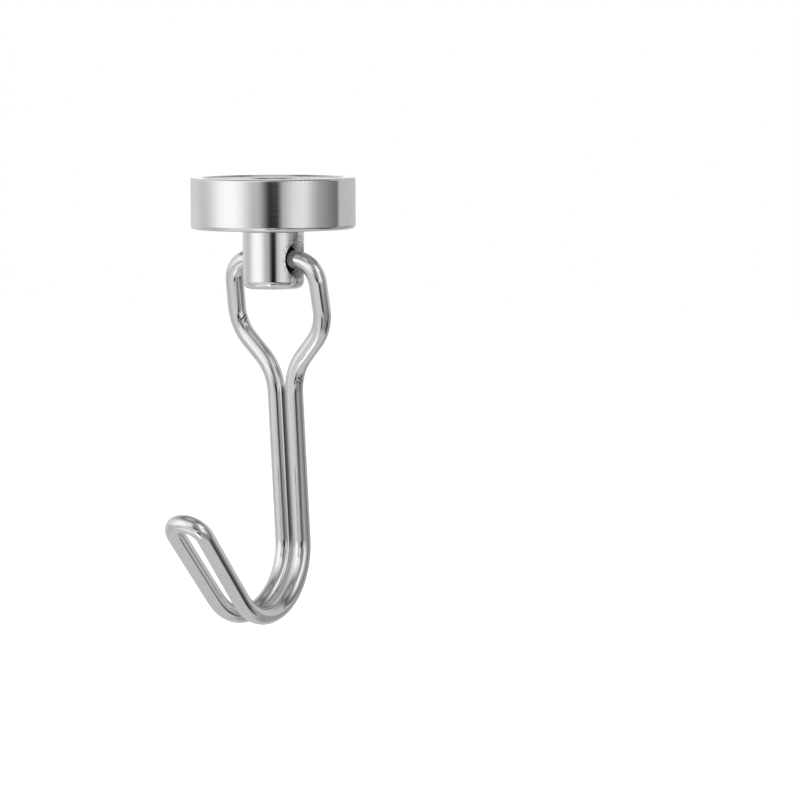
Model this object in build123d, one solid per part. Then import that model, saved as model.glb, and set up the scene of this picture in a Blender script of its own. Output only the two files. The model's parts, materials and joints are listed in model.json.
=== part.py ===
from build123d import *

import os
from math import radians, tan

# A ceiling or door magnet with a free swinging wire hook.
# The origin is the centre of the magnet's contact face, +Z points into the
# steel that it grips, the cross hole runs along X and the hook opens
# towards -Y. All lengths are in millimetres and all angles in degrees.

# Steel cup
cup_diameter = 25.0
cup_height = 7.8
cup_wall = 1.9
cup_floor = 3.1
cup_rim_round = 0.3
cup_base_round = 0.6
cup_lip_chamfer = 0.25

# Ring magnet, glued to the cup's floor, with resin in the gap round it
magnet_recess = 0.2
magnet_bore_clearance = 0.2
magnet_chamfer = 0.3
resin_gap = 0.8
resin_recess = 0.15

# Swivel post
post_diameter = 9.3
post_length = 8.9
post_top_chamfer = 0.3
post_base_round = 1.15
post_end_play = 0.15

# Cross hole through the post: a close land in its middle carries the wire,
# and a wider relief and a cone open it at each side
pivot_drop = 4.6
hole_clearance = 0.08
land_length = 3.0
relief_clearance = 0.5
mouth_flare = 1.03
mouth_depth = 1.5

# Rivet that holds the post to the cup
rivet_diameter = 4.0
rivet_clearance = 0.05
rivet_hole_floor = 0.52
rivet_hole_spare = 0.15
rivet_end_chamfer = 0.25
rivet_head_overhang = 0.9
rivet_head_height = 1.2
rivet_head_round = 0.4
rivet_head_play = 0.05

# Washer under the rivet's head
washer_margin = 0.2
washer_thickness = 0.5

# Wire of the hook, and the gap between its two ends inside the post
wire_diameter = 2.75
wire_end_gap = 0.8
wire_end_chamfer = 0.2

# Loop that hangs from the post, with every drop measured down from the cross
# hole's axis
shoulder_gap = 1.65
shoulder_radius = 3.65
belly_bulge = 0.35
belly_drop = 10.5
belly_setback = 0.3
belly_radius = 7.0
crotch_drop = 17.3
crotch_radius = 8.4

# Shank, where the two wires run side by side
shank_gap = 0.55

# Hook bend, from the heel under the shank round to the toe
hook_drop = 52.0
heel_reach = 2.6
heel_radius = 10.0
toe_reach = 16.8
toe_dip = 0.5
toe_radius = 9.0

# Tip, where the two wires join in a rounded end
tip_reach = 28.75
tip_rise = 17.6
tip_gap = 2.85
tip_round_share = 0.94

# Most of a straight run that the bends at its two ends may take up
bend_room_share = 0.98

# How far back the hook leans as it hangs
hang_angle = 8.7

# Overrun of every cut past the face that it opens
overrun = 1.0

# Radii that follow from the sizes above
cup_radius = cup_diameter / 2
pocket_radius = cup_radius - cup_wall
magnet_radius = pocket_radius - resin_gap
post_radius = post_diameter / 2
wire_radius = wire_diameter / 2
hole_radius = wire_radius + hole_clearance
relief_radius = wire_radius + relief_clearance
rivet_radius = rivet_diameter / 2
rivet_way_radius = rivet_radius + rivet_clearance
rivet_head_radius = rivet_radius + rivet_head_overhang
washer_radius = rivet_head_radius + washer_margin
magnet_bore_radius = washer_radius + magnet_bore_clearance

# Heights that follow from the sizes above
cup_underside = -cup_height
cup_floor_top = cup_underside + cup_floor
magnet_face = -magnet_recess
resin_top = magnet_face - magnet_chamfer - resin_recess
post_top = cup_underside - post_end_play
post_bottom = post_top - post_length
pivot_height = cup_underside - pivot_drop
washer_top = cup_floor_top + washer_thickness
rivet_seat = washer_top + rivet_head_play
rivet_head_top = rivet_seat + rivet_head_height
rivet_hole_bottom = pivot_height + relief_radius + rivet_hole_floor
rivet_bottom = rivet_hole_bottom + rivet_hole_spare

# Spacings of the wires, from centre to centre, that follow from the sizes above
shoulder_spacing = post_diameter + wire_diameter + 2 * shoulder_gap
belly_spacing = shoulder_spacing + 2 * belly_bulge
shank_spacing = wire_diameter + shank_gap
tip_spacing = wire_diameter + tip_gap

os.makedirs("parts", exist_ok=True)


def disc(radius, low, high):
    """A round block about the Z axis between two heights."""
    return Pos(0, 0, low) * Cylinder(radius, high - low, align=(Align.CENTER, Align.CENTER, Align.MIN))


def lowest_edges(solid):
    """The edges that lie in a solid's lowest plane."""
    return solid.edges().group_by(Axis.Z)[0]


def highest_edges(solid):
    """The edges that lie in a solid's highest plane."""
    return solid.edges().group_by(Axis.Z)[-1]


def steel_cup():
    """The pot: a turned steel cup with a hole for the rivet in its floor."""
    cup = disc(cup_radius, cup_underside, 0)
    cup = fillet(highest_edges(cup), cup_rim_round)
    cup = fillet(lowest_edges(cup), cup_base_round)
    cup -= disc(pocket_radius, cup_floor_top, overrun)
    cup = chamfer(highest_edges(cup).sort_by(SortBy.LENGTH)[0], cup_lip_chamfer)
    return cup - disc(rivet_way_radius, cup_underside - overrun, cup_floor_top + overrun)


def ring_magnet():
    """The neodymium ring, a little below the cup's rim."""
    magnet = disc(magnet_radius, cup_floor_top, magnet_face)
    magnet -= disc(magnet_bore_radius, cup_floor_top - overrun, magnet_face + overrun)
    return chamfer(highest_edges(magnet), magnet_chamfer)


def potting_ring():
    """The cured resin between the magnet and the cup's wall."""
    resin = disc(pocket_radius, cup_floor_top, resin_top)
    return resin - disc(magnet_radius, cup_floor_top - overrun, resin_top + overrun)


def mouth_cutter():
    """The relief and the cone that open one end of the cross hole, upright."""
    relief = disc(relief_radius, land_length / 2, post_radius)
    cone_length = mouth_depth + overrun
    outer_radius = relief_radius + mouth_flare * cone_length / mouth_depth
    cone = Cone(relief_radius, outer_radius, cone_length, align=(Align.CENTER, Align.CENTER, Align.MIN))
    return relief + Pos(0, 0, post_radius - mouth_depth) * cone


def swivel_post():
    """The turned post with its cross hole, both mouths and the rivet's hole."""
    post = disc(post_radius, post_bottom, post_top)
    post = fillet(lowest_edges(post), post_base_round)
    post = chamfer(highest_edges(post), post_top_chamfer)
    post -= Pos(0, 0, pivot_height) * Rot(0, 90, 0) * Cylinder(hole_radius, land_length + overrun)
    mouth = Pos(0, 0, pivot_height) * Rot(0, 90, 0) * mouth_cutter()
    post -= mouth
    post -= mirror(mouth, about=Plane.YZ)
    return post - disc(rivet_radius, rivet_hole_bottom, post_top + overrun)


def swivel_rivet():
    """The headed rivet: free in the cup's floor, pressed into the post."""
    head = disc(rivet_head_radius, rivet_seat, rivet_head_top)
    head = fillet(highest_edges(head), rivet_head_round)
    shank = disc(rivet_radius, rivet_bottom, rivet_seat)
    return head + chamfer(lowest_edges(shank), rivet_end_chamfer)


def thrust_washer():
    """The thin washer that the rivet's head turns on."""
    washer = disc(washer_radius, cup_floor_top, washer_top)
    return washer - disc(rivet_way_radius, cup_floor_top - overrun, washer_top + overrun)


def spread_at(reach):
    """Half the wires' spacing in the bend, which opens evenly to the tip."""
    opening = (tip_spacing - shank_spacing) / 2
    return shank_spacing / 2 + opening * (reach - heel_reach) / (tip_reach - heel_reach)


def fitted_bends(corners, bends):
    """The bends' radii, made smaller only where a run has no room for them."""
    points = [Vector(corner) for corner in corners]
    runs = [after - before for before, after in zip(points, points[1:])]
    turns = [before.get_angle(after) for before, after in zip(runs, runs[1:])]
    taken = [0, *(bend * tan(radians(turn / 2)) for bend, turn in zip(bends, turns)), 0]
    ends = zip(taken, taken[1:])
    room = [min(1, bend_room_share * run.length / sum(pair)) for run, pair in zip(runs, ends)]
    return [bend * min(pair) for bend, pair in zip(bends, zip(room, room[1:]))]


def wire_hook():
    """The hook: one wire, bent from the post round the tip and back."""
    side = [
        (shoulder_spacing / 2, 0, 0),
        (belly_spacing / 2, belly_setback, -belly_drop),
        (shank_spacing / 2, 0, -crotch_drop),
        (shank_spacing / 2, -heel_reach, -hook_drop),
        (spread_at(toe_reach), -toe_reach, -hook_drop - toe_dip),
        (tip_spacing / 2, -tip_reach, -hook_drop + tip_rise),
    ]
    tip_radius = tip_round_share * tip_spacing / 2
    bends = [shoulder_radius, belly_radius, crotch_radius, heel_radius, toe_radius, tip_radius]
    start = (wire_end_gap / 2, 0, 0)
    end = (-wire_end_gap / 2, 0, 0)
    other_side = [(-x, y, z) for x, y, z in reversed(side)]
    corners = [start, *side, *other_side, end]
    route = FilletPolyline(*corners, radius=fitted_bends(corners, bends + bends[::-1]))
    section = Plane(origin=route @ 0, z_dir=route % 0) * Circle(wire_radius)
    wire = sweep(section, path=route)
    cut_ends = wire.faces().filter_by(GeomType.PLANE)
    wire = chamfer(cut_ends.edges(), wire_end_chamfer)
    return Pos(0, 0, pivot_height) * Rot(hang_angle, 0, 0) * wire


pieces = {
    "steel_cup": steel_cup,
    "ring_magnet": ring_magnet,
    "potting_ring": potting_ring,
    "swivel_post": swivel_post,
    "swivel_rivet": swivel_rivet,
    "thrust_washer": thrust_washer,
    "wire_hook": wire_hook,
}

for name, build in pieces.items():
    export_step(build(), f"parts/{name}.step")
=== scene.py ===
import json
from math import cos, pi, radians, sin, tau

import bmesh
import bpy
from bpy.props import FloatProperty, FloatVectorProperty, IntProperty, PointerProperty
from bpy.types import Operator, Panel, PropertyGroup
from mathutils import Euler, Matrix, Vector


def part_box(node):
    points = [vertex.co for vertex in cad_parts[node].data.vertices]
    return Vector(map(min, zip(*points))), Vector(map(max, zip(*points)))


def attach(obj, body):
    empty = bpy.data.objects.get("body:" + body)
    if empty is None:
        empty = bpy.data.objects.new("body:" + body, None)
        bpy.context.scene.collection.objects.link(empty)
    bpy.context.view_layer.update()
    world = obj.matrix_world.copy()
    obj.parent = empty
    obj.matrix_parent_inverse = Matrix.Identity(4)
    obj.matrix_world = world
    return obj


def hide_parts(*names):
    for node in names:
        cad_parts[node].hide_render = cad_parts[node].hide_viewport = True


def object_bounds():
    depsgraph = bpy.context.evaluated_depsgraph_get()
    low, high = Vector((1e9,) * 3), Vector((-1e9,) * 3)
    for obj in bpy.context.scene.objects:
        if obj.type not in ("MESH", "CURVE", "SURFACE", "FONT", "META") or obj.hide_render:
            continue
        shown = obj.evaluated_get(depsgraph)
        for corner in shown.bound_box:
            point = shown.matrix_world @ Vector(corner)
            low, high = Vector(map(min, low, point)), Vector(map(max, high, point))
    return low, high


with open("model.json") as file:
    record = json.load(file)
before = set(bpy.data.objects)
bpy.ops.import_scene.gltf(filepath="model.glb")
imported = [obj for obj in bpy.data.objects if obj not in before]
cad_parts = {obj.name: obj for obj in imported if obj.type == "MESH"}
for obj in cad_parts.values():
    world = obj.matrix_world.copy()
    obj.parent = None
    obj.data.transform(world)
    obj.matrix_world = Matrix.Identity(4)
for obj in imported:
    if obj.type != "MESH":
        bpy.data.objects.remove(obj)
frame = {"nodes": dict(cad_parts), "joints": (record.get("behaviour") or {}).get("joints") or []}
bpy.context.view_layer.update()
CAD_BOX = [list(corner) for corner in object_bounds()]

# The frame's pieces and the places that the finishes follow, in metres
NODES = frame["nodes"]
JOINT_PLACES = {joint["name"]: Vector(joint["pos_m"]) for joint in frame["joints"]}
PIVOT = JOINT_PLACES["hook_swing"]
LOWEST_POINT = CAD_BOX[0][2]
RESIN_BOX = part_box("potting_ring")
MAGNET_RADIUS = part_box("ring_magnet")[1][0]
POST_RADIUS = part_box("swivel_post")[1][0]
CUP_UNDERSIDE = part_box("steel_cup")[0][2]

bl_info = {
    "name": "Magnetic hook",
    "version": (1, 0, 0),
    "blender": (4, 5, 0),
    "location": "3D View > Sidebar > Magnetic hook",
    "description": "Finishes a swivelling magnetic hook and sets it in a plain studio",
    "category": "Object",
}


# Sizes, colours and places that a user may change

class PlatingSettings(PropertyGroup):
    """Polished plating of the cup and the post."""

    colour: FloatVectorProperty(
        name="Plating", description="Colour of the polished plating", subtype="COLOR", size=3,
        default=(0.86, 0.86, 0.86),
    )
    clean: FloatProperty(
        name="Clean", description="Roughness of clean plating", default=0.03, subtype="FACTOR",
    )
    handled: FloatProperty(
        name="Handled", description="Roughness where hands have left it dull", default=0.07,
        subtype="FACTOR",
    )
    scuffed: FloatProperty(
        name="Scuffed", description="Roughness of the scuffs on the rim", default=0.3, subtype="FACTOR",
    )
    smudge_size: FloatProperty(
        name="Smudge size", description="Size of the dull patches", default=0.006, unit="LENGTH",
    )
    turning_pitch: FloatProperty(
        name="Turning pitch", description="Distance between the lathe tool's marks", default=0.00035,
        unit="LENGTH",
    )
    turning_depth: FloatProperty(
        name="Turning depth", description="Depth of the lathe's marks under the plating",
        default=0.00000025, unit="LENGTH",
    )
    polish_size: FloatProperty(
        name="Polish width", description="Width of the polishing streaks up the sides", default=0.0008,
        unit="LENGTH",
    )
    polish_depth: FloatProperty(
        name="Polish depth", description="Depth of the polishing streaks", default=0.0000012,
        unit="LENGTH",
    )
    # Painted shade on the cup's underside
    underside_tint: FloatProperty(
        name="Underside shade", description="Brightness of the painted shade on the cup's underside",
        default=0.6, subtype="FACTOR",
    )
    underside_roughness: FloatProperty(
        name="Underside roughness", description="Roughness of the cup's underside", default=0.12,
        subtype="FACTOR",
    )
    bore_reach: FloatProperty(
        name="Bore reach", description="How far from the cross hole's axis the post is rough",
        default=0.003, unit="LENGTH",
    )
    # Painted shade inside the cross hole
    bore_tint: FloatProperty(
        name="Bore shade", description="Brightness left to the cross hole's mouths", default=0.54,
        subtype="FACTOR",
    )
    blotch_tint: FloatProperty(
        name="Blotch tint", description="Brightness left to the blotches round the cross hole's mouths",
        default=0.5, subtype="FACTOR",
    )
    bore_roughness: FloatProperty(
        name="Bore roughness", description="Roughness of the cross hole's mouths", default=0.27,
        subtype="FACTOR",
    )


class WireSettings(PropertyGroup):
    """Polished plating of the bent wire."""

    colour: FloatVectorProperty(
        name="Wire", description="Colour of the plated wire", subtype="COLOR", size=3,
        default=(0.87, 0.87, 0.875),
    )
    clean: FloatProperty(name="Clean", description="Roughness of clean wire", default=0.03, subtype="FACTOR")
    handled: FloatProperty(
        name="Handled", description="Roughness of handled wire", default=0.07, subtype="FACTOR",
    )
    rubbed: FloatProperty(
        name="Rubbed", description="Roughness of the bend, where hung things rub", default=0.2,
        subtype="FACTOR",
    )
    smudge_size: FloatProperty(
        name="Smudge size", description="Size of the dull patches", default=0.005, unit="LENGTH",
    )
    wave_size: FloatProperty(
        name="Wave size", description="Length of the slight waves under the plating", default=0.004,
        unit="LENGTH",
    )
    wave_depth: FloatProperty(
        name="Wave depth", description="Depth of the waves", default=0.000004, unit="LENGTH",
    )
    belly_mark: FloatVectorProperty(
        name="Upper bending mark", description="Where the bending tool pressed the loop", subtype="XYZ",
        unit="LENGTH", size=3, default=(-0.0065, 0.0011, -0.0215),
    )
    crotch_mark: FloatVectorProperty(
        name="Lower bending mark", description="Where the bending tool pressed the foot of the loop",
        subtype="XYZ", unit="LENGTH", size=3, default=(0.00327, 0.0023, -0.0307),
    )
    mark_reach: FloatProperty(
        name="Mark reach", description="Radius of a bending mark", default=0.001, unit="LENGTH",
    )
    mark_depth: FloatProperty(
        name="Mark depth", description="Depth of the creases in a bending mark", default=0.00009,
        unit="LENGTH",
    )
    # Painted shade: brightness left to the seam between the shank's two wires
    seam_grime: FloatProperty(
        name="Seam shade", description="Brightness left to the seam between the shank's two wires",
        default=0.34, subtype="FACTOR",
    )


class MagnetSettings(PropertyGroup):
    """Satin nickel of the ring magnet."""

    colour: FloatVectorProperty(
        name="Magnet", description="Colour of the magnet's nickel", subtype="COLOR", size=3,
        default=(0.70, 0.685, 0.66),
    )
    worn_colour: FloatVectorProperty(
        name="Worn", description="Colour where the nickel is rubbed", subtype="COLOR", size=3,
        default=(0.60, 0.59, 0.575),
    )
    clean: FloatProperty(
        name="Satin", description="Roughness of the satin nickel", default=0.24, subtype="FACTOR",
    )
    scuffed: FloatProperty(
        name="Scuffed", description="Roughness of the scuffs on the face", default=0.42,
        subtype="FACTOR",
    )
    grain_size: FloatProperty(
        name="Grain size", description="Size of the sintered grain under the nickel", default=0.00022,
        unit="LENGTH",
    )
    grain_depth: FloatProperty(
        name="Grain depth", description="Depth of the grain", default=0.0000009, unit="LENGTH",
    )


class ResinSettings(PropertyGroup):
    """Black resin between the magnet and the cup."""

    colour: FloatVectorProperty(
        name="Resin", description="Colour of the cured resin", subtype="COLOR", size=3,
        default=(0.028, 0.028, 0.03),
    )
    dusty_colour: FloatVectorProperty(
        name="Dust", description="Colour of the dust on the resin", subtype="COLOR", size=3,
        default=(0.11, 0.11, 0.105),
    )
    glossy: FloatProperty(
        name="Glossy", description="Roughness of clean resin", default=0.22, subtype="FACTOR",
    )
    dull: FloatProperty(name="Dull", description="Roughness of dusty resin", default=0.55, subtype="FACTOR")
    creep: FloatProperty(
        name="Creep", description="How far the resin creeps up its walls", default=0.00022,
        unit="LENGTH",
    )
    ring_steps: IntProperty(name="Steps", description="Steps round the resin ring", default=144)


class SteelSettings(PropertyGroup):
    """Bare steel of the rivet and its washer."""

    rivet_colour: FloatVectorProperty(
        name="Rivet", description="Colour of the pressed rivet", subtype="COLOR", size=3,
        default=(0.60, 0.60, 0.61),
    )
    washer_colour: FloatVectorProperty(
        name="Washer", description="Colour of the washer", subtype="COLOR", size=3,
        default=(0.50, 0.50, 0.51),
    )
    dirt_colour: FloatVectorProperty(
        name="Dirt", description="Colour of old grease on the steel", subtype="COLOR", size=3,
        default=(0.20, 0.185, 0.165),
    )
    clean: FloatProperty(name="Clean", description="Roughness of clean steel", default=0.27, subtype="FACTOR")
    greasy: FloatProperty(
        name="Greasy", description="Roughness under old grease", default=0.48, subtype="FACTOR",
    )
    press_pitch: FloatProperty(
        name="Press pitch", description="Distance between the riveting tool's rings", default=0.00042,
        unit="LENGTH",
    )
    press_depth: FloatProperty(
        name="Press depth", description="Depth of the riveting tool's rings", default=0.000006,
        unit="LENGTH",
    )


class StageSettings(PropertyGroup):
    """Camera, floor and studio."""

    view_azimuth: FloatProperty(
        name="View azimuth", description="Angle of the camera round the hook, from the front",
        default=radians(36.0), subtype="ANGLE",
    )
    view_elevation: FloatProperty(
        name="View elevation", description="Angle of the camera above the cross hole",
        default=radians(2.79), subtype="ANGLE",
    )
    view_distance: FloatProperty(
        name="View distance", description="Distance from the camera to the cross hole", default=0.8,
        unit="LENGTH",
    )
    lens: FloatProperty(name="Lens", description="Focal length of the camera in millimetres", default=237.54)
    aim_azimuth: FloatProperty(
        name="Aim azimuth", description="Direction in which the camera looks", default=radians(34.632),
        subtype="ANGLE",
    )
    aim_elevation: FloatProperty(
        name="Aim elevation", description="Downward tilt of the camera", default=radians(4.327),
        subtype="ANGLE",
    )
    roll: FloatProperty(
        name="Roll", description="Roll of the camera about its own axis", default=radians(-0.265),
        subtype="ANGLE",
    )
    floor_gap: FloatProperty(
        name="Floor gap", description="Height of the hook's lowest point above the floor", default=0.06,
        unit="LENGTH",
    )
    floor_size: FloatProperty(name="Floor size", description="Side of the floor", default=3.0, unit="LENGTH")
    floor_colour: FloatVectorProperty(
        name="Floor colour", description="Colour of the plain floor", subtype="COLOR", size=3,
        default=(0.85, 0.85, 0.85),
    )
    floor_glow: FloatProperty(
        name="Floor glow", description="Share of the floor's white that no shadow takes away",
        default=0.62, subtype="FACTOR",
    )
    studio_grey: FloatProperty(
        name="Studio grey", description="Brightness of the studio's walls", default=0.58,
    )
    lamp_power: FloatProperty(
        name="Lamp power", description="Power of the soft lamp over the hook, in watts", default=7.0,
    )
    lamp_size: FloatProperty(
        name="Lamp size", description="Side of the soft lamp", default=0.7, unit="LENGTH",
    )


# Small helpers for pieces and colours

def deselect_all():
    """Leaves edit mode and clears the selection, so that an operator meets only its own piece."""
    if bpy.context.mode != "OBJECT":
        bpy.ops.object.mode_set(mode="OBJECT")
    bpy.ops.object.select_all(action="DESELECT")


def finish_node(name, material):
    """Gives a piece that came from the frame its finish."""
    for slot in NODES[name].material_slots:
        slot.material = material


def dimmed(colour, share):
    """The colour with only a share of its brightness left."""
    return tuple(share * part for part in colour)


# Small helpers for node trees

class Tree:
    """A node tree that is written down node by node."""

    def __init__(self, tree):
        self.tree = tree

    def node(self, kind, **settings):
        """Adds a node and sets its own properties."""
        node = self.tree.nodes.new(kind)
        for name, value in settings.items():
            setattr(node, name, value)
        return node

    def feed(self, socket, value):
        """Links an output to a socket, or sets the socket to a constant."""
        if isinstance(value, bpy.types.NodeSocket):
            self.tree.links.new(value, socket)
        elif value is not None:
            socket.default_value = value

    def math(self, operation, *values, clamp=False):
        """Adds a Math node on one, two or three numbers."""
        node = self.node("ShaderNodeMath", operation=operation, use_clamp=clamp)
        for socket, value in zip(node.inputs, values):
            self.feed(socket, value)
        return node.outputs[0]

    def times(self, first, second, clamp=False):
        """The product of two numbers."""
        return self.math("MULTIPLY", first, second, clamp=clamp)

    def plus(self, first, second):
        """The sum of two numbers."""
        return self.math("ADD", first, second)

    def vector_math(self, operation, *values, result="Vector"):
        """Adds a Vector Math node on one or two vectors."""
        node = self.node("ShaderNodeVectorMath", operation=operation)
        for socket, value in zip(node.inputs, values):
            self.feed(socket, value)
        return node.outputs[result]

    def distance(self, offset, weights):
        """Length of an offset whose parts are weighted first."""
        return self.vector_math("LENGTH", self.vector_math("MULTIPLY", offset, weights), result="Value")

    def split(self, vector):
        """The three parts of a vector."""
        node = self.node("ShaderNodeSeparateXYZ")
        self.feed(node.inputs[0], vector)
        return node.outputs

    def step(self, value, low, high):
        """Rises smoothly from 0 to 1 as the value goes from low to high."""
        node = self.node("ShaderNodeMapRange", interpolation_type="SMOOTHSTEP")
        self.feed(node.inputs["Value"], value)
        self.feed(node.inputs["From Min"], low)
        self.feed(node.inputs["From Max"], high)
        return node.outputs["Result"]

    def fall(self, value, low, high):
        """Falls smoothly from 1 to 0 as the value goes from low to high."""
        return self.math("SUBTRACT", 1.0, self.step(value, low, high))

    def blend(self, share, first, second):
        """Goes from the first number to the second as the share goes from 0 to 1."""
        node = self.node("ShaderNodeMix", data_type="FLOAT")
        self.feed(node.inputs["Factor"], share)
        self.feed(node.inputs[2], first)
        self.feed(node.inputs[3], second)
        return node.outputs[0]

    def blend_colour(self, share, first, second):
        """Goes from the first colour to the second as the share goes from 0 to 1."""
        node = self.node("ShaderNodeMix", data_type="RGBA")
        self.feed(node.inputs["Factor"], share)
        for socket, colour in ((node.inputs[6], first), (node.inputs[7], second)):
            self.feed(socket, colour if isinstance(colour, bpy.types.NodeSocket) else (*colour, 1.0))
        return node.outputs[2]

    def noise(self, place, size, detail=2.0, roughness=0.5):
        """Noise whose lumps are about as far apart as the size says."""
        node = self.node("ShaderNodeTexNoise")
        scale = self.math("DIVIDE", 1.0, size) if isinstance(size, bpy.types.NodeSocket) else 1.0 / size
        self.feed(node.inputs["Vector"], place)
        self.feed(node.inputs["Scale"], scale)
        self.feed(node.inputs["Detail"], detail)
        self.feed(node.inputs["Roughness"], roughness)
        return node.outputs[0]

    def stretched(self, place, stretch, turn=(0.0, 0.0, 0.0)):
        """The place turned and squeezed, so that noise on it runs in long lines."""
        node = self.node("ShaderNodeMapping")
        self.feed(node.inputs["Vector"], place)
        self.feed(node.inputs["Rotation"], turn)
        self.feed(node.inputs["Scale"], stretch)
        return node.outputs[0]

    def effect(self, build, **values):
        """Adds the node group of a shared effect and feeds its inputs by their names."""
        group = shared_group(build)
        node = self.node("ShaderNodeGroup", node_tree=group, label=group.name)
        for name, value in values.items():
            self.feed(node.inputs[name.replace("_", " ").capitalize()], value)
        return node.outputs

    def bump(self, height):
        """Bump whose height is given in metres."""
        node = self.node("ShaderNodeBump")
        self.feed(node.inputs["Strength"], 1.0)
        self.feed(node.inputs["Distance"], 1.0)
        self.feed(node.inputs["Height"], height)
        return node.outputs[0]


def new_group(name, inputs, outputs):
    """A node group with named sockets: itself, its tree, what it is given and what it puts out.

    An input without a default is a vector. All other sockets are numbers.
    """
    group = bpy.data.node_groups.new(name, "ShaderNodeTree")
    for socket_name, default in inputs.items():
        kind = "NodeSocketVector" if default is None else "NodeSocketFloat"
        socket = group.interface.new_socket(socket_name, in_out="INPUT", socket_type=kind)
        if default is not None:
            socket.default_value = default
    for socket_name in outputs:
        group.interface.new_socket(socket_name, in_out="OUTPUT", socket_type="NodeSocketFloat")
    tree = Tree(group)
    return group, tree, tree.node("NodeGroupInput").outputs, tree.node("NodeGroupOutput").inputs


def shared_group(build):
    """An effect's node group, named after its function and built when first asked for."""
    name = build.__name__.replace("_", " ")
    return bpy.data.node_groups.get(name) or build(name)


def fresh_material(name):
    """A named material with its tree, its shader and the place on the piece."""
    material = bpy.data.materials.new(name)
    material.use_nodes = True
    tree = Tree(material.node_tree)
    place = tree.node("ShaderNodeTexCoord").outputs["Object"]
    return material, tree, material.node_tree.nodes["Principled BSDF"], place


def dress_metal(tree, shader, tint, roughness, height):
    """Feeds a metal's colour, roughness and relief to its shader."""
    tree.feed(shader.inputs["Base Color"], tint)
    tree.feed(shader.inputs["Metallic"], 1.0)
    tree.feed(shader.inputs["Roughness"], roughness)
    tree.feed(shader.inputs["Normal"], tree.bump(height))


# Effects that the finishes share

def hand_smudges(name):
    """Dull patches where polished metal has been handled."""
    speck_share = 0.11
    faint = 0.45
    inputs = {"Place": None, "Size": 0.005, "Clean": 0.05, "Handled": 0.1}
    group, tree, given, result = new_group(name, inputs, ("Roughness", "Mask"))
    lumps = tree.noise(given["Place"], given["Size"], detail=3.0, roughness=0.55)
    patches = tree.step(lumps, low=0.45, high=0.72)
    specks = tree.noise(given["Place"], tree.times(given["Size"], speck_share), detail=3.0, roughness=0.6)
    grease = tree.step(specks, low=0.35, high=0.75)
    mask = tree.times(patches, tree.blend(grease, faint, 1.0))
    tree.feed(result["Mask"], mask)
    tree.feed(result["Roughness"], tree.blend(mask, given["Clean"], given["Handled"]))
    return group


def lathe_marks(name):
    """Rings that a tool leaves on a turned piece, along its side and over its ends."""
    wander_size = 0.004
    wander_share = 0.8
    coarse_share = 0.37
    inputs = {"Place": None, "Pitch": 0.0003, "Depth": 0.000001}
    group, tree, given, result = new_group(name, inputs, ("Height",))
    x, y, z = tree.split(given["Place"])
    across = tree.math("SQRT", tree.plus(tree.times(x, x), tree.times(y, y)))
    along = tree.math("SUBTRACT", z, across)
    reach = tree.times(given["Pitch"], wander_share)
    wander = tree.times(tree.noise(given["Place"], wander_size), reach)
    turns = tree.math("DIVIDE", tree.plus(along, wander), given["Pitch"])
    fine = tree.math("SINE", tree.times(turns, tau))
    coarse = tree.math("SINE", tree.times(turns, tau * coarse_share))
    half_depth = tree.times(given["Depth"], 0.5)
    tree.feed(result["Height"], tree.times(tree.plus(fine, coarse), half_depth))
    return group


def polishing_streaks(name):
    """Faint upright streaks that a polishing wheel leaves on a round side."""
    upright = (1.0, 1.0, 0.025)
    broad_width = 3.6
    broad_share = 2.6
    inputs = {"Place": None, "Width": 0.001, "Depth": 0.000001}
    group, tree, given, result = new_group(name, inputs, ("Height",))
    place = tree.vector_math("MULTIPLY", given["Place"], upright)
    narrow = tree.noise(place, given["Width"], detail=1.0, roughness=0.4)
    broad = tree.noise(place, tree.times(given["Width"], broad_width), detail=1.0, roughness=0.4)
    height = tree.plus(narrow, tree.times(broad, broad_share))
    tree.feed(result["Height"], tree.times(height, given["Depth"]))
    return group


# The runs of scratches on the contact face: the direction of each in radians, and the noise
# level above which a scratch shows
SCRATCH_RUNS = ((0.35, 0.60), (1.45, 0.62), (2.5, 0.63))


def contact_scuffs(name):
    """Fine scratches on the faces that slide over steel, near the plane z = 0."""
    full_share = 0.25
    scratch_stretch = (0.03, 1.0, 1.0)
    scratch_edge = 0.08
    patch_size = 0.0035
    scratch_depth = 0.0000015
    inputs = {"Place": None, "Lowest": -0.0004, "Width": 0.00006}
    group, tree, given, result = new_group(name, inputs, ("Mask", "Height"))
    z = tree.split(given["Place"])[2]
    reached = tree.step(z, low=given["Lowest"], high=tree.times(given["Lowest"], full_share))
    lines = None
    for turn, level in SCRATCH_RUNS:
        long_way = tree.stretched(given["Place"], scratch_stretch, turn=(0.0, 0.0, turn))
        line = tree.step(
            tree.noise(long_way, given["Width"], detail=1.0), low=level, high=level + scratch_edge,
        )
        lines = line if lines is None else tree.math("MAXIMUM", lines, line)
    patches = tree.step(tree.noise(given["Place"], patch_size), low=0.35, high=0.65)
    mask = tree.times(tree.times(lines, patches), reached)
    tree.feed(result["Mask"], mask)
    tree.feed(result["Height"], tree.times(mask, -scratch_depth))
    return group


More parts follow.
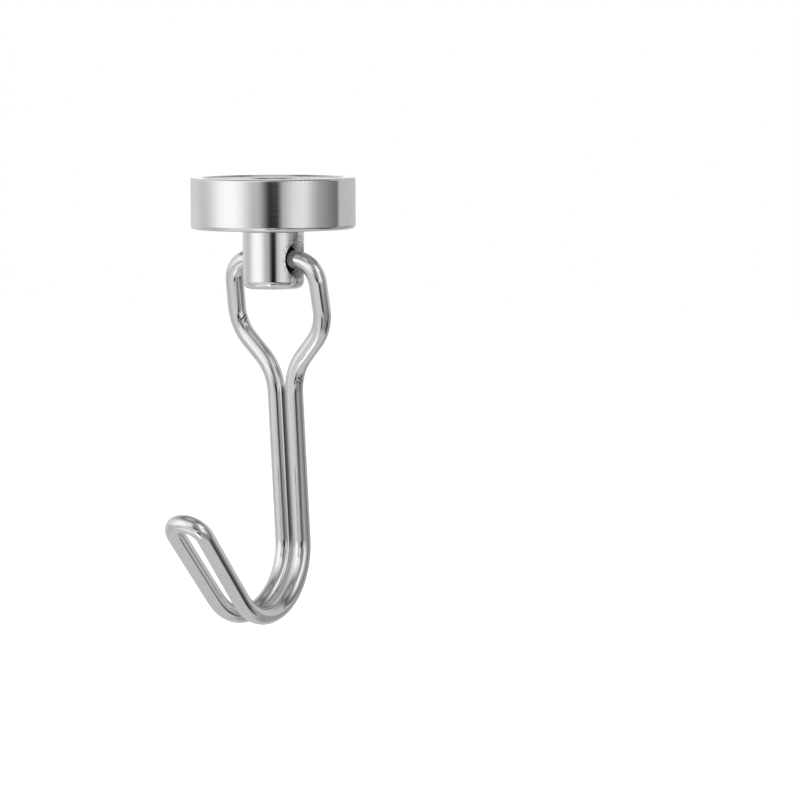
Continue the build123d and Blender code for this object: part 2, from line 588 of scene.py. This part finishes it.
def bending_mark(name):
    """Two short creases that a bending tool pinches inside a bend, with a mask that paints shade into them.
    """
    full_share = 0.35
    crooked_size = 0.0007
    crooked_by = 0.0004
    first_rise = 0.0002
    first_width = 0.00024
    second_drop = 0.00042
    second_width = 0.0003
    second_share = 0.6
    crease_shade_gain = 1.7
    inputs = {"Place": None, "Centre": None, "Slant": 0.7, "Reach": 0.001, "Depth": 0.00005}
    group, tree, given, result = new_group(name, inputs, ("Height", "Mask"))
    offset = tree.vector_math("SUBTRACT", given["Place"], given["Centre"])
    away = tree.vector_math("LENGTH", offset, result="Value")
    near = tree.fall(away, low=tree.times(given["Reach"], full_share), high=given["Reach"])
    crooked = tree.times(tree.noise(given["Place"], crooked_size), crooked_by)
    _, y, z = tree.split(offset)
    slanted = tree.plus(z, tree.times(y, given["Slant"]))
    across = tree.plus(slanted, crooked)
    from_first = tree.math("ABSOLUTE", tree.math("SUBTRACT", across, first_rise))
    from_second = tree.math("ABSOLUTE", tree.plus(across, second_drop))
    first = tree.fall(from_first, low=0.0, high=first_width)
    second = tree.times(tree.fall(from_second, low=0.0, high=second_width), second_share)
    creases = tree.times(tree.plus(first, second), near)
    # The mask paints shade into the creases
    tree.feed(result["Mask"], tree.times(creases, crease_shade_gain, clamp=True))
    tree.feed(result["Height"], tree.times(creases, tree.times(given["Depth"], -1.0)))
    return group


def old_grease(name):
    """Grease and dirt that gather in a hidden corner of the steel."""
    thickness = 0.000004
    inputs = {"Place": None, "Size": 0.001}
    group, tree, given, result = new_group(name, inputs, ("Mask", "Height"))
    lumps = tree.noise(given["Place"], given["Size"], detail=4.0, roughness=0.6)
    tree.feed(result["Mask"], tree.step(lumps, low=0.42, high=0.68))
    tree.feed(result["Height"], tree.times(lumps, thickness))
    return group


def smudges(tree, place, settings):
    """The hand smudges of a polished piece, by its own settings."""
    return tree.effect(
        hand_smudges, place=place, size=settings.smudge_size, clean=settings.clean,
        handled=settings.handled,
    )


# The turned pieces: cup and post

def plated_nickel(name, settings, turning, streaks, marks_and_shade):
    """Bright plating with what its making and use left on it; the last step adds the piece's own marks and
    painted shade.
    """
    smudge_tint = 0.955
    material, tree, shader, place = fresh_material(name)
    smudged = smudges(tree, place, settings)
    turned = tree.effect(
        lathe_marks, place=place, pitch=settings.turning_pitch, depth=settings.turning_depth * turning,
    )
    polished = tree.effect(
        polishing_streaks, place=place, width=settings.polish_size,
        depth=settings.polish_depth * streaks,
    )
    tint = tree.blend_colour(smudged["Mask"], settings.colour, dimmed(settings.colour, smudge_tint))
    height = tree.plus(turned["Height"], polished["Height"])
    tint, roughness, height = marks_and_shade(tree, place, settings, tint, smudged["Roughness"], height)
    dress_metal(tree, shader, tint, roughness, height)
    return material


def worn_cup(tree, place, settings, tint, roughness, height):
    """The cup's rim, scratched by the steel that it has gripped, and its underside, duller and darkened with
    painted shade.
    """
    underside_edge = (CUP_UNDERSIDE + 0.00001, CUP_UNDERSIDE + 0.00004)
    lowest_scuff = -0.0005
    scuff_tint = 0.9
    # The underside is darkened with painted shade and made rougher
    below = tree.fall(tree.split(place)[2], *underside_edge)
    tint = tree.blend_colour(below, tint, dimmed(settings.colour, settings.underside_tint))
    roughness = tree.blend(below, roughness, settings.underside_roughness)
    scuffed = tree.effect(contact_scuffs, place=place, lowest=lowest_scuff)
    tint = tree.blend_colour(scuffed["Mask"], tint, dimmed(settings.colour, scuff_tint))
    roughness = tree.blend(scuffed["Mask"], roughness, settings.scuffed)
    return tint, roughness, tree.plus(height, scuffed["Height"])


def worn_post(tree, place, settings, tint, roughness, height):
    """The post's cross hole, where the drill's marks show and painted shade darkens it most where it runs
    deep, and the blotches round its mouths.
    """
    bore_edge = 0.0003
    outer_skin = (POST_RADIUS - 0.00007, POST_RADIUS - 0.00002)
    mouth_slope = (POST_RADIUS - 0.0017, POST_RADIUS - 0.0003)
    mottle_size = 0.0004
    mottle_depth = 0.00005
    ring_pitch = 0.00028
    ring_wander = 0.0002
    ring_depth = 0.0000035
    painted_shade_shares = (1.0, 1.6, 0.7, 1.1)
    blotch_reach = (0.0032, 0.0046)
    blotch_narrowing = 1.45
    offset = tree.vector_math("SUBTRACT", place, tuple(PIVOT))
    from_bore = tree.distance(offset, (0.0, 1.0, 1.0))
    beside_bore = tree.distance(offset, (0.0, blotch_narrowing, 1.0))
    from_middle = tree.distance(place, (1.0, 1.0, 0.0))
    inside = tree.fall(from_middle, *outer_skin)
    bored = tree.times(inside, tree.fall(from_bore, settings.bore_reach, settings.bore_reach + bore_edge))
    mottle = tree.noise(place, mottle_size, detail=3.0, roughness=0.65)
    wandering = tree.plus(from_bore, tree.times(mottle, ring_wander))
    rings = tree.math("SINE", tree.times(wandering, tau / ring_pitch))
    rough = tree.plus(tree.times(rings, ring_depth), tree.times(mottle, mottle_depth))
    shallow = tree.step(from_middle, *mouth_slope)
    # Painted shade in the cross hole: two mottled tones, each darker deep in the hole than at its mouth; worn
    # is the paler tone
    shades = [dimmed(settings.colour, settings.bore_tint * share) for share in painted_shade_shares]
    deep_worn_shade, open_worn_shade, deep_drilled_shade, open_drilled_shade = shades
    worn = tree.blend_colour(shallow, deep_worn_shade, open_worn_shade)
    drilled_shade = tree.blend_colour(shallow, deep_drilled_shade, open_drilled_shade)
    shade = tree.blend_colour(tree.step(mottle, low=0.38, high=0.62), drilled_shade, worn)
    blotched = tree.times(tree.step(mottle, low=0.4, high=0.6), tree.fall(beside_bore, *blotch_reach))
    tint = tree.blend_colour(blotched, tint, dimmed(settings.colour, settings.blotch_tint))
    tint = tree.blend_colour(bored, tint, shade)
    roughness = tree.blend(bored, roughness, settings.bore_roughness)
    return tint, roughness, tree.plus(height, tree.times(bored, rough))


class HOOK_OT_cup(Operator):
    """Plates the steel cup, scuffs its rim and leaves its underside dull and darkened with painted shade"""

    bl_idname = "hook.cup"
    bl_label = "Finish the cup"

    def execute(self, context):
        plating = context.scene.hook_plating
        nickel = plated_nickel("polished nickel cup", plating, turning=1.0, streaks=1.0, marks_and_shade=worn_cup)
        finish_node("steel_cup", nickel)
        return {"FINISHED"}


class HOOK_OT_post(Operator):
    """Plates the swivel post, roughens its cross hole and darkens it with painted shade"""

    bl_idname = "hook.post"
    bl_label = "Finish the post"

    def execute(self, context):
        plating = context.scene.hook_plating
        nickel = plated_nickel("polished nickel post", plating, turning=0.8, streaks=0.45, marks_and_shade=worn_post)
        finish_node("swivel_post", nickel)
        return {"FINISHED"}


# The bent wire

def plated_wire(settings):
    """Bright drawn wire, rubbed in the bend, pinched in two bends with painted shade in their creases, and
    with painted shade and duller roughness in its seam.
    """
    bend_zone = (LOWEST_POINT + 0.009, LOWEST_POINT + 0.002)
    rub_stretch = (1.0, 0.07, 0.3)
    rub_size = 0.00016
    speckle_size = 0.00032
    drawn_stretch = (1.0, 1.0, 0.05)
    drawn_size = 0.00025
    drawn_depth = 0.0000004
    speckle_tint = 0.965
    smudge_tint = 0.94
    rub_tint = 0.85
    rub_share = 0.6
    crease_shade_tint = 0.2
    seam_roughness = 0.4
    material, tree, shader, place = fresh_material("polished plated wire")
    smudged = smudges(tree, place, settings)
    parts = tree.split(place)
    low = tree.step(parts[2], *bend_zone)
    lines = tree.noise(tree.stretched(place, rub_stretch), rub_size)
    rubbed = tree.times(low, tree.step(lines, low=0.5, high=0.68))
    roughness = tree.blend(rubbed, smudged["Roughness"], settings.rubbed)
    speckle = tree.step(tree.noise(place, speckle_size, roughness=0.6), low=0.4, high=0.62)
    tint = tree.blend_colour(speckle, dimmed(settings.colour, speckle_tint), settings.colour)
    tint = tree.blend_colour(smudged["Mask"], tint, dimmed(settings.colour, smudge_tint))
    tint = tree.blend_colour(tree.times(rubbed, rub_share), tint, dimmed(settings.colour, rub_tint))
    waves = tree.times(tree.noise(place, settings.wave_size), settings.wave_depth)
    drawn = tree.noise(tree.stretched(place, drawn_stretch), drawn_size, detail=1.0)
    height = tree.plus(waves, tree.times(drawn, drawn_depth))
    for centre, slant in ((settings.belly_mark, -0.88), (settings.crotch_mark, 0.67)):
        mark = tree.effect(
            bending_mark, place=place, centre=tuple(centre), slant=slant, reach=settings.mark_reach,
            depth=settings.mark_depth,
        )
        height = tree.plus(height, mark["Height"])
        # Painted shade in the bending marks' creases
        tint = tree.blend_colour(mark["Mask"], tint, dimmed(settings.colour, crease_shade_tint))
    # Painted shade between the shank's two wires, with duller roughness there
    seam_shade_mask = seam_grime(tree, parts)
    tint = tree.blend_colour(seam_shade_mask, tint, dimmed(settings.colour, settings.seam_grime))
    roughness = tree.blend(seam_shade_mask, roughness, seam_roughness)
    dress_metal(tree, shader, tint, roughness, height)
    return material


def seam_grime(tree, parts):
    """Mask of the painted shade, also used for duller roughness, in the narrow seam between the shank's two
    wires.
    """
    top_y = 0.00262
    top_z = -0.0295
    lean = -0.0772
    half_width = (0.00031, 0.00042)
    half_depth = (0.0002, 0.00042)
    lower_end = (-0.0575, -0.0545)
    upper_end = (-0.0325, -0.031)
    across, forward, up = parts
    middle = tree.math("MULTIPLY_ADD", tree.math("SUBTRACT", up, top_z), lean, top_y)
    depth = tree.math("ABSOLUTE", tree.math("SUBTRACT", forward, middle))
    narrow = tree.fall(tree.math("ABSOLUTE", across), *half_width)
    shallow = tree.fall(depth, *half_depth)
    along = tree.times(tree.step(up, *lower_end), tree.fall(up, *upper_end))
    return tree.times(tree.times(narrow, shallow), along)


def skin_wire():
    """The bent wire as one seamless skin, whose bends run smoothly into its straight runs."""
    merge_reach = 1e-6
    smooth_below = radians(30)
    deselect_all()
    wire = bpy.data.objects.new("bent_wire", NODES["wire_hook"].data.copy())
    bpy.context.scene.collection.objects.link(wire)
    bpy.context.view_layer.objects.active = wire
    wire.select_set(True)
    bpy.ops.object.mode_set(mode="EDIT")
    bpy.ops.mesh.select_all(action="SELECT")
    bpy.ops.mesh.remove_doubles(threshold=merge_reach)
    bpy.ops.mesh.customdata_custom_splitnormals_clear()
    bpy.ops.mesh.normals_make_consistent(inside=False)
    bpy.ops.object.mode_set(mode="OBJECT")
    bpy.ops.object.shade_smooth_by_angle(angle=smooth_below)
    return wire


class HOOK_OT_wire(Operator):
    """Plates the wire hook, with its bending marks and the rub of hung things"""

    bl_idname = "hook.wire"
    bl_label = "Finish the wire"

    def execute(self, context):
        wire = skin_wire()
        wire.data.materials.clear()
        wire.data.materials.append(plated_wire(context.scene.hook_wire))
        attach(wire, "hook")
        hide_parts("wire_hook")
        return {"FINISHED"}


# The ring magnet

def satin_nickel(settings):
    """Satin nickel over sintered grain, clouded, scuffed and worn at its outer edge."""
    cloud_size = 0.004
    cloud_tint = 0.93
    cloud_roughness = 1.25
    lowest_scuff = -0.0006
    scuff_width = 0.00009
    outer_edge = (MAGNET_RADIUS - 0.00055, MAGNET_RADIUS - 0.00012)
    wear_size = 0.0007
    mark_share = 0.7
    material, tree, shader, place = fresh_material("satin nickel magnet")
    grain = tree.noise(place, settings.grain_size, roughness=0.6)
    clouds = tree.step(tree.noise(place, cloud_size, detail=3.0, roughness=0.6), low=0.35, high=0.7)
    scuffed = tree.effect(contact_scuffs, place=place, lowest=lowest_scuff, width=scuff_width)
    outside = tree.step(tree.distance(place, (1.0, 1.0, 0.0)), *outer_edge)
    patches = tree.step(tree.noise(place, wear_size, detail=3.0), low=0.38, high=0.62)
    worn = tree.times(outside, patches)
    tint = tree.blend_colour(clouds, settings.colour, dimmed(settings.colour, cloud_tint))
    rubbed = tree.math("MAXIMUM", worn, tree.times(scuffed["Mask"], mark_share))
    tint = tree.blend_colour(rubbed, tint, settings.worn_colour)
    roughness = tree.blend(clouds, settings.clean, settings.clean * cloud_roughness)
    dulled = tree.math("MAXIMUM", scuffed["Mask"], tree.times(worn, mark_share))
    roughness = tree.blend(dulled, roughness, settings.scuffed)
    height = tree.plus(tree.times(grain, settings.grain_depth), scuffed["Height"])
    dress_metal(tree, shader, tint, roughness, height)
    return material


class HOOK_OT_magnet(Operator):
    """Finishes the ring magnet in satin nickel"""

    bl_idname = "hook.magnet"
    bl_label = "Finish the magnet"

    def execute(self, context):
        finish_node("ring_magnet", satin_nickel(context.scene.hook_magnet))
        return {"FINISHED"}


# The resin that holds the magnet

def black_resin(settings):
    """Cured black resin with a lumpy top and dust in its hollows."""
    lump_size = 0.0016
    lump_height = 0.00002
    dust_size = 0.00018
    material, tree, shader, place = fresh_material("black potting resin")
    lumps = tree.noise(place, lump_size, detail=3.0)
    specks = tree.noise(place, dust_size, detail=3.0, roughness=0.7)
    dust = tree.times(tree.step(lumps, low=0.42, high=0.7), tree.step(specks, low=0.4, high=0.7))
    tree.feed(shader.inputs["Base Color"], tree.blend_colour(dust, settings.colour, settings.dusty_colour))
    tree.feed(shader.inputs["Roughness"], tree.blend(dust, settings.glossy, settings.dull))
    tree.feed(shader.inputs["Normal"], tree.bump(tree.times(lumps, lump_height)))
    return material


def select_where(piece, kind, test):
    """Selects the vertices, edges or faces of the piece in edit mode that pass the test."""
    bpy.ops.mesh.select_mode(type={"verts": "VERT", "edges": "EDGE", "faces": "FACE"}[kind])
    bpy.ops.mesh.select_all(action="DESELECT")
    mesh = bmesh.from_edit_mesh(piece.data)
    for part in getattr(mesh, kind):
        corners = [part] if kind == "verts" else part.verts
        if test(sum((corner.co for corner in corners), Vector()) / len(corners)):
            part.select_set(True)
    mesh.select_flush_mode()
    bmesh.update_edit_mesh(piece.data)


def model_resin_ring(settings):
    """Spins the section of the resin, with its sunk top, round the magnet."""
    top_cuts = 9
    merge_reach = 1e-7
    top_reach = 1e-6
    smooth_below = radians(40)
    (_, _, low), (outer, _, high) = RESIN_BOX
    middle = (MAGNET_RADIUS + outer) / 2
    half = (outer - MAGNET_RADIUS) / 2
    close = 0.02 * half
    centre_z = (low + high) / 2
    deselect_all()
    bpy.ops.mesh.primitive_plane_add(size=1.0, location=(middle, 0, centre_z), rotation=(pi / 2, 0, 0))
    ring = bpy.context.object
    ring.name = "potted_resin"
    ring.scale = (outer - MAGNET_RADIUS, high - low, 1.0)
    bpy.ops.object.transform_apply(location=True, rotation=True, scale=True)
    bpy.ops.object.mode_set(mode="EDIT")
    select_where(ring, "edges", lambda place: place.z > high - top_reach)
    bpy.ops.mesh.subdivide(number_cuts=top_cuts)
    for step in range((top_cuts + 1) // 2):
        share = 2 * step / (top_cuts + 1)
        reach = share * half
        select_where(
            ring, "verts",
            lambda place: place.z > centre_z and abs(abs(place.x - middle) - reach) < close,
        )
        bpy.ops.transform.translate(value=(0, 0, -settings.creep * (1 - share ** 2) ** 0.5))
    select_where(ring, "faces", lambda place: True)
    bpy.ops.mesh.delete(type="ONLY_FACE")
    select_where(ring, "edges", lambda place: True)
    bpy.ops.mesh.spin(steps=settings.ring_steps, angle=tau, center=(0, 0, 0), axis=(0, 0, 1))
    bpy.ops.mesh.select_all(action="SELECT")
    bpy.ops.mesh.remove_doubles(threshold=merge_reach)
    bpy.ops.mesh.normals_make_consistent(inside=False)
    bpy.ops.object.mode_set(mode="OBJECT")
    bpy.ops.object.shade_smooth_by_angle(angle=smooth_below)
    return ring


class HOOK_OT_resin(Operator):
    """Pours the black resin round the magnet"""

    bl_idname = "hook.resin"
    bl_label = "Pour the resin"

    def execute(self, context):
        settings = context.scene.hook_resin
        ring = model_resin_ring(settings)
        ring.data.materials.append(black_resin(settings))
        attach(ring, "magnet_base")
        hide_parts("potting_ring")
        return {"FINISHED"}


# Rivet and washer

def bare_steel(name, colour, settings, pressed):
    """Plain steel with the press tool's rings and old grease on it."""
    grease_size = 0.0009
    grease_metal_loss = 0.35
    material, tree, shader, place = fresh_material(name)
    grease = tree.effect(old_grease, place=place, size=grease_size)
    rings = tree.effect(
        lathe_marks, place=place, pitch=settings.press_pitch, depth=settings.press_depth * pressed,
    )
    metal_loss = tree.times(grease["Mask"], grease_metal_loss)
    tree.feed(shader.inputs["Base Color"], tree.blend_colour(grease["Mask"], colour, settings.dirt_colour))
    tree.feed(shader.inputs["Metallic"], tree.math("SUBTRACT", 1.0, metal_loss))
    tree.feed(shader.inputs["Roughness"], tree.blend(grease["Mask"], settings.clean, settings.greasy))
    tree.feed(shader.inputs["Normal"], tree.bump(tree.plus(rings["Height"], grease["Height"])))
    return material


class HOOK_OT_rivet(Operator):
    """Finishes the rivet and the washer under its head in bare steel"""

    bl_idname = "hook.rivet"
    bl_label = "Finish the rivet"

    def execute(self, context):
        settings = context.scene.hook_steel
        pressed = bare_steel("pressed rivet steel", settings.rivet_colour, settings, pressed=1.0)
        plain = bare_steel("plain washer steel", settings.washer_colour, settings, pressed=0.2)
        finish_node("swivel_rivet", pressed)
        finish_node("thrust_washer", plain)
        return {"FINISHED"}


# The studio: soft panels that the bright metal mirrors

def soft_panel(name):
    """A panel on the studio's walls, as a mask over azimuth and elevation."""
    edges = ("Left", "Left blur", "Right", "Right blur", "Bottom", "Bottom blur", "Top", "Top blur")
    inputs = dict.fromkeys(("Azimuth", "Elevation", *edges), 0.0)
    group, tree, given, result = new_group(name, inputs, ("Mask",))
    mask = None
    for angle, low, high in (("Azimuth", "Left", "Right"), ("Elevation", "Bottom", "Top")):
        for edge in (low, high):
            start = tree.math("SUBTRACT", given[edge], given[edge + " blur"])
            end = tree.plus(given[edge], given[edge + " blur"])
            side = (tree.step if edge == low else tree.fall)(given[angle], start, end)
            mask = side if mask is None else tree.times(mask, side)
    tree.feed(result["Mask"], mask)
    return group


# Each panel: its brightness, then its left, right, bottom and top edge, each with its blur, in
# degrees. Azimuth 0 is where the camera stands and grows to its right. A panel covers those
# above it in the list.
STUDIO_PANELS = {
    "rear wall left": (0.7, (-185, 5), (-95, 20), (-20, 5), (65, 5)),
    "backdrop left of the camera's back": (1.0, (-185, 1), (-170, 3), (0, 1), (15, 3)),
    "backdrop right of the camera's back": (1.0, (170, 3), (185, 1), (0, 1), (15, 3)),
    "screen over the camera": (0.9, (-55, 25), (30, 10), (0, 3), (70, 3)),
    "left softbox": (1.1, (-95, 30), (-40, 20), (-10, 5), (65, 25)),
    "right softbox": (1.1, (20, 10), (55, 15), (-15, 15), (70, 25)),
    "right softbox core": (1.5, (40, 10), (85, 10), (30, 5), (60, 20)),
    "low right screen": (0.3, (-35, 10), (95, 5), (-45, 5), (-5, 10)),
    "grey screen": (0.15, (75, 35), (103, 3), (-40, 3), (90, 5)),
    "low right wall": (0.35, (105, 3), (145, 20), (-55, 10), (-4, 3)),
    "rear low left": (0.5, (-125, 15), (-95, 15), (-50, 5), (-2, 3)),
    "ceiling": (0.1, (-185, 3), (185, 3), (50, 30), (95, 3)),
    "lit middle of the ceiling": (0.5, (-185, 1), (185, 1), (72, 8), (95, 1)),
    "floor left": (0.7, (-65, 5), (20, 5), (-35, 20), (-10, 5)),
    "floor right": (0.05, (5, 5), (30, 10), (-20, 5), (-10, 3)),
    "floor light": (1.4, (-40, 15), (-15, 3), (-65, 5), (-40, 20)),
    "low left screen": (1.0, (-95, 20), (-50, 5), (-55, 10), (-40, 10)),
    "dark stand": (0.05, (70, 10), (95, 3), (-40, 3), (-22, 3)),
    "dark stool": (0.05, (-10, 5), (10, 5), (-40, 3), (-25, 3)),
    "camera's dark slot": (0.0, (-13, 10), (10, 5), (-12, 3), (20, 5)),
    "slot above": (0.3, (-5, 15), (30, 15), (-1, 3), (60, 10)),
}


def studio_angles(tree, view_azimuth):
    """Azimuth from the camera and elevation of a mirrored direction, in degrees."""
    to_degrees = 180 / pi
    turned = tree.node("ShaderNodeVectorRotate", rotation_type="Z_AXIS")
    tree.feed(turned.inputs["Vector"], tree.node("ShaderNodeTexCoord").outputs["Generated"])
    tree.feed(turned.inputs["Angle"], -view_azimuth)
    x, y, z = tree.split(turned.outputs[0])
    azimuth = tree.math("ARCTAN2", x, tree.times(y, -1.0))
    return [tree.times(angle, to_degrees) for angle in (azimuth, tree.math("ARCSINE", z))]


def build_world(settings):
    """A studio that the metal mirrors panel by panel, and that is plain white to the camera."""
    white = (1.0, 1.0, 1.0, 1.0)
    world = bpy.data.worlds.new("studio")
    bpy.context.scene.world = world
    world.use_nodes = True
    world.node_tree.nodes.clear()
    tree = Tree(world.node_tree)
    azimuth, elevation = studio_angles(tree, settings.view_azimuth)
    brightness = settings.studio_grey
    for name, (level, left, right, bottom, top) in STUDIO_PANELS.items():
        panel = tree.node("ShaderNodeGroup", node_tree=shared_group(soft_panel), label=name)
        tree.feed(panel.inputs["Azimuth"], azimuth)
        tree.feed(panel.inputs["Elevation"], elevation)
        for edge, (place, blur) in zip(("Left", "Right", "Bottom", "Top"), (left, right, bottom, top)):
            tree.feed(panel.inputs[edge], place)
            tree.feed(panel.inputs[edge + " blur"], blur)
        brightness = tree.blend(panel.outputs["Mask"], brightness, level)
    seen = tree.node("ShaderNodeLightPath").outputs["Is Camera Ray"]
    background = tree.node("ShaderNodeBackground")
    tree.feed(background.inputs["Color"], white)
    tree.feed(background.inputs["Strength"], tree.blend(seen, brightness, 1.0))
    tree.feed(tree.node("ShaderNodeOutputWorld").inputs["Surface"], background.outputs[0])


def floor_paint(settings):
    """White to the camera with the hook's soft shadow on it, and open from below."""
    material = bpy.data.materials.new("plain floor")
    material.use_nodes = True
    material.node_tree.nodes.clear()
    tree = Tree(material.node_tree)
    paint = tree.node("ShaderNodeBsdfDiffuse")
    tree.feed(paint.inputs["Color"], (*settings.floor_colour, 1.0))
    seen = tree.node("ShaderNodeLightPath").outputs["Is Camera Ray"]
    glow = tree.node("ShaderNodeEmission")
    tree.feed(glow.inputs["Strength"], tree.times(seen, settings.floor_glow))
    lit = tree.node("ShaderNodeAddShader")
    tree.feed(lit.inputs[0], paint.outputs[0])
    tree.feed(lit.inputs[1], glow.outputs[0])
    open_below = tree.node("ShaderNodeMixShader")
    tree.feed(open_below.inputs[0], tree.node("ShaderNodeNewGeometry").outputs["Backfacing"])
    tree.feed(open_below.inputs[1], lit.outputs[0])
    tree.feed(open_below.inputs[2], tree.node("ShaderNodeBsdfTransparent").outputs[0])
    tree.feed(tree.node("ShaderNodeOutputMaterial").inputs["Surface"], open_below.outputs[0])
    return material


def build_floor(settings):
    """A wide plain floor under the hanging hook, which the metal doesn't mirror."""
    deselect_all()
    bpy.ops.mesh.primitive_plane_add(
        size=settings.floor_size, location=(0, 0, LOWEST_POINT - settings.floor_gap),
    )
    floor = bpy.context.object
    floor.name = "floor"
    bpy.ops.object.transform_apply(location=True, rotation=True, scale=True)
    floor.data.materials.append(floor_paint(settings))
    floor.visible_glossy = False


def build_lamp(settings):
    """One large soft lamp above and to the left, which the metal doesn't mirror."""
    from_pivot = Vector((-0.35, -0.35, 0.75))
    data = bpy.data.lights.new("soft lamp", "AREA")
    data.shape = "SQUARE"
    data.size = settings.lamp_size
    data.energy = settings.lamp_power
    lamp = bpy.data.objects.new("soft lamp", data)
    bpy.context.scene.collection.objects.link(lamp)
    lamp.location = PIVOT + from_pivot
    lamp.rotation_euler = (PIVOT - lamp.location).to_track_quat("-Z", "Y").to_euler()
    lamp.visible_glossy = False
    lamp.visible_camera = False


def build_camera(settings):
    """The camera, where the photograph of such a hook would be taken from."""
    data = bpy.data.cameras.new("camera")
    data.lens = settings.lens
    camera = bpy.data.objects.new("camera", data)
    bpy.context.scene.collection.objects.link(camera)
    turn, rise = settings.view_azimuth, settings.view_elevation
    outwards = Vector((sin(turn) * cos(rise), -cos(turn) * cos(rise), sin(rise)))
    camera.location = PIVOT + settings.view_distance * outwards
    aim = Euler((pi / 2 - settings.aim_elevation, 0, settings.aim_azimuth)).to_matrix()
    roll = Euler((0, 0, settings.roll)).to_matrix()
    camera.rotation_euler = (aim @ roll).to_euler()
    bpy.context.scene.camera = camera


class HOOK_OT_stage(Operator):
    """Sets up the camera, the studio, the lamp and the floor"""

    bl_idname = "hook.stage"
    bl_label = "Set the stage"

    def execute(self, context):
        settings = context.scene.hook_stage
        build_world(settings)
        build_floor(settings)
        build_lamp(settings)
        build_camera(settings)
        return {"FINISHED"}


# Sidebar and registration

SETTINGS = {
    "hook_plating": PlatingSettings,
    "hook_wire": WireSettings,
    "hook_magnet": MagnetSettings,
    "hook_resin": ResinSettings,
    "hook_steel": SteelSettings,
    "hook_stage": StageSettings,
}

SIDEBAR = (
    ("Cup and post", "hook_plating", ("hook.cup", "hook.post")),
    ("Wire", "hook_wire", ("hook.wire",)),
    ("Magnet", "hook_magnet", ("hook.magnet",)),
    ("Resin", "hook_resin", ("hook.resin",)),
    ("Rivet and washer", "hook_steel", ("hook.rivet",)),
    ("Stage", "hook_stage", ("hook.stage",)),
)


class HOOK_PT_sidebar(Panel):
    """Lists the hook's pieces and the stage, each with its settings"""

    bl_idname = "HOOK_PT_sidebar"
    bl_label = "Magnetic hook"
    bl_space_type = "VIEW_3D"
    bl_region_type = "UI"
    bl_category = "Magnetic hook"

    def draw(self, context):
        for title, group_name, operators in SIDEBAR:
            box = self.layout.box()
            box.label(text=title)
            group = getattr(context.scene, group_name)
            for setting in SETTINGS[group_name].__annotations__:
                box.prop(group, setting)
            for operator in operators:
                box.operator(operator)


OPERATORS = (
    HOOK_OT_stage, HOOK_OT_cup, HOOK_OT_post, HOOK_OT_wire, HOOK_OT_magnet, HOOK_OT_resin, HOOK_OT_rivet,
)
CLASSES = (*SETTINGS.values(), *OPERATORS, HOOK_PT_sidebar)


def register():
    for cls in CLASSES:
        bpy.utils.register_class(cls)
    for name, group in SETTINGS.items():
        setattr(bpy.types.Scene, name, PointerProperty(type=group))


def unregister():
    for name in SETTINGS:
        delattr(bpy.types.Scene, name)
    for cls in reversed(CLASSES):
        bpy.utils.unregister_class(cls)


def main():
    register()
    bpy.ops.hook.stage()
    bpy.ops.hook.cup()
    bpy.ops.hook.post()
    bpy.ops.hook.wire()
    bpy.ops.hook.magnet()
    bpy.ops.hook.resin()
    bpy.ops.hook.rivet()
    bpy.context.scene.view_settings.view_transform = "Standard"


if __name__ == "__main__":
    main()
